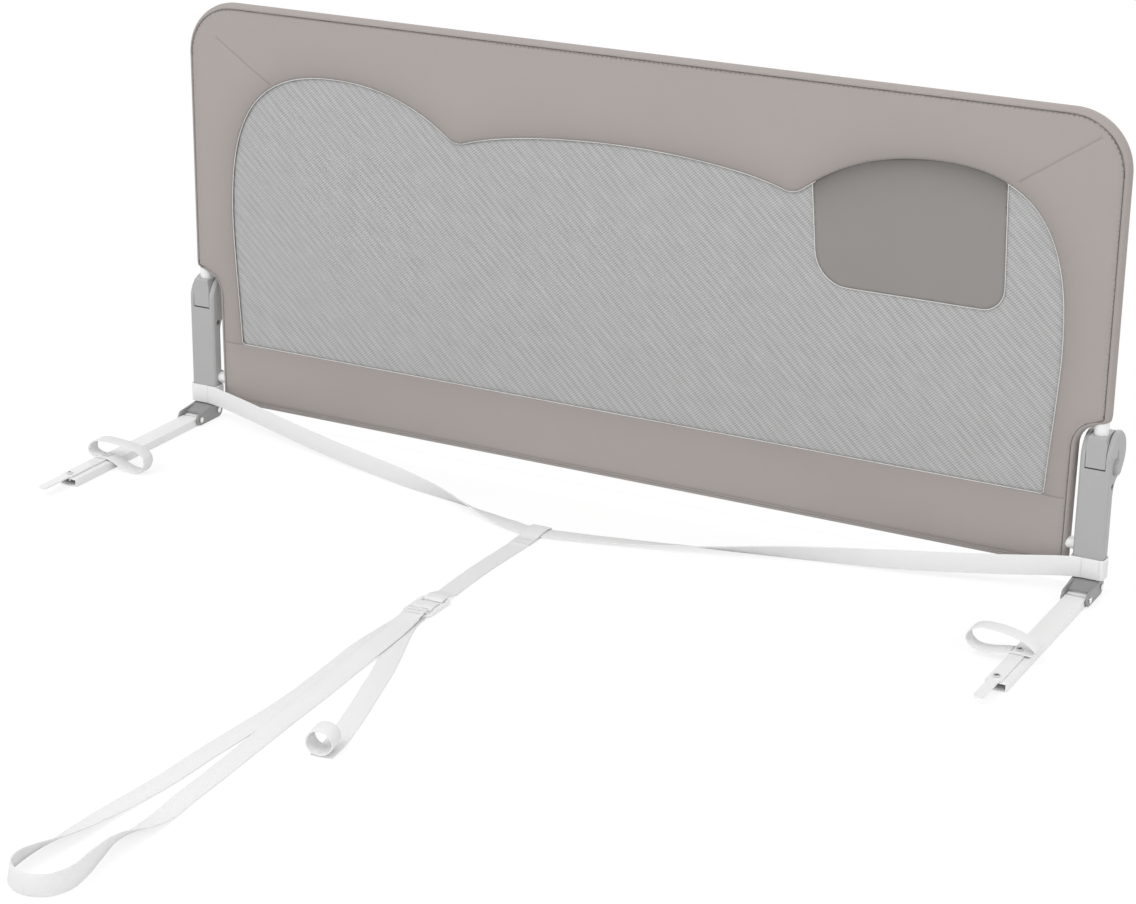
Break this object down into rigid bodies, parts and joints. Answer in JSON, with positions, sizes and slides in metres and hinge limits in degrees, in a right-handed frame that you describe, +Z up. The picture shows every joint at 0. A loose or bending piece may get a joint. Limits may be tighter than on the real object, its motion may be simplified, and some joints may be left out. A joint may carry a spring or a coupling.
{
  "type": "folding bed guard rail",
  "caption": "Fabric and mesh bed guard rail with a rounded panel on hinged posts, folding arms for under the mattress and a webbing anchor with a long loop.",
  "frame": {"origin": "middle of the footprint of posts and arms, on the surface that the arms lie on, without the anchor webbing", "axes": "+X along the rail, -Y into the bed along the arms, +Z up"},
  "size_m": [1.028, 0.9823, 0.455],
  "materials": {
    "casing": "fine satin grain",
    "bracket": "satin",
    "white_plastic": "semi-gloss",
    "white_steel": "smooth powder coat",
    "bare_steel": "zinc plated",
    "insert": "plain",
    "cover": "woven polyester",
    "mesh": "fine diagonal knit",
    "pocket": "woven polyester",
    "webbing": "woven tape"
  },
  "bodies": {
    "frame": {"left_post_casing": "casing", "left_post_core": "bare_steel", "left_post_screw": "bare_steel", "left_hinge_pin": "bare_steel", "left_strap_band": "webbing", "left_button_spring": "bare_steel", "left_foot_bracket": "bracket", "left_post_pin": "bracket", "left_arm_pin": "bracket", "right_post_casing": "casing", "right_post_core": "bare_steel", "right_post_screw": "bare_steel", "right_hinge_pin": "bare_steel", "right_strap_band": "webbing", "right_button_spring": "bare_steel", "right_foot_bracket": "bracket", "right_post_pin": "bracket", "right_arm_pin": "bracket", "lower_tube": "white_steel", "lower_cover": "cover", "lower_front_mesh": "mesh", "lower_back_mesh": "mesh", "cross_strap": "webbing", "centre_strap": "webbing", "slide_buckle": "white_plastic", "loop_strap": "webbing", "tail_strap": "webbing", "tail_ring": "webbing"},
    "panel": {"left_hinge_knuckle": "casing", "left_side_tube": "white_steel", "left_tube_insert": "insert", "right_hinge_knuckle": "casing", "right_side_tube": "white_steel", "right_tube_insert": "insert", "top_tube": "white_steel", "upper_cover": "cover", "upper_front_mesh": "mesh", "upper_back_mesh": "mesh", "pocket": "pocket"},
    "left_arm": {"left_arm": "white_steel", "left_arm_strip": "white_steel", "left_inner_screw": "bare_steel", "left_outer_screw": "bare_steel", "left_tie_strap": "webbing"},
    "left_button": {"left_release_button": "casing"},
    "right_arm": {"right_arm": "white_steel", "right_arm_strip": "white_steel", "right_inner_screw": "bare_steel", "right_outer_screw": "bare_steel", "right_tie_strap": "webbing"},
    "right_button": {"right_release_button": "casing"}
  },
  "joints": [
    {"name": "panel_fold", "type": "hinge", "parent": "frame", "child": "panel", "pos_m": [0, 0.1405, 0.134], "axis": [-1, 0, 0], "range_deg": [0, 180]},
    {"name": "left_arm_fold", "type": "hinge", "parent": "frame", "child": "left_arm", "pos_m": [-0.495, 0.0915, 0.0068], "axis": [-1, 0, 0], "range_deg": [0, 90]},
    {"name": "left_button_press", "type": "slide", "parent": "frame", "child": "left_button", "axis": [1, 0, 0], "range_m": [0, 0.0025], "stiffness_N_per_m": 600, "deforming": ["left_button_spring"]},
    {"name": "right_arm_fold", "type": "hinge", "parent": "frame", "child": "right_arm", "pos_m": [0.495, 0.0915, 0.0068], "axis": [-1, 0, 0], "range_deg": [0, 90]},
    {"name": "right_button_press", "type": "slide", "parent": "frame", "child": "right_button", "axis": [-1, 0, 0], "range_m": [0, 0.0025], "stiffness_N_per_m": 600, "deforming": ["right_button_spring"]}
  ]
}
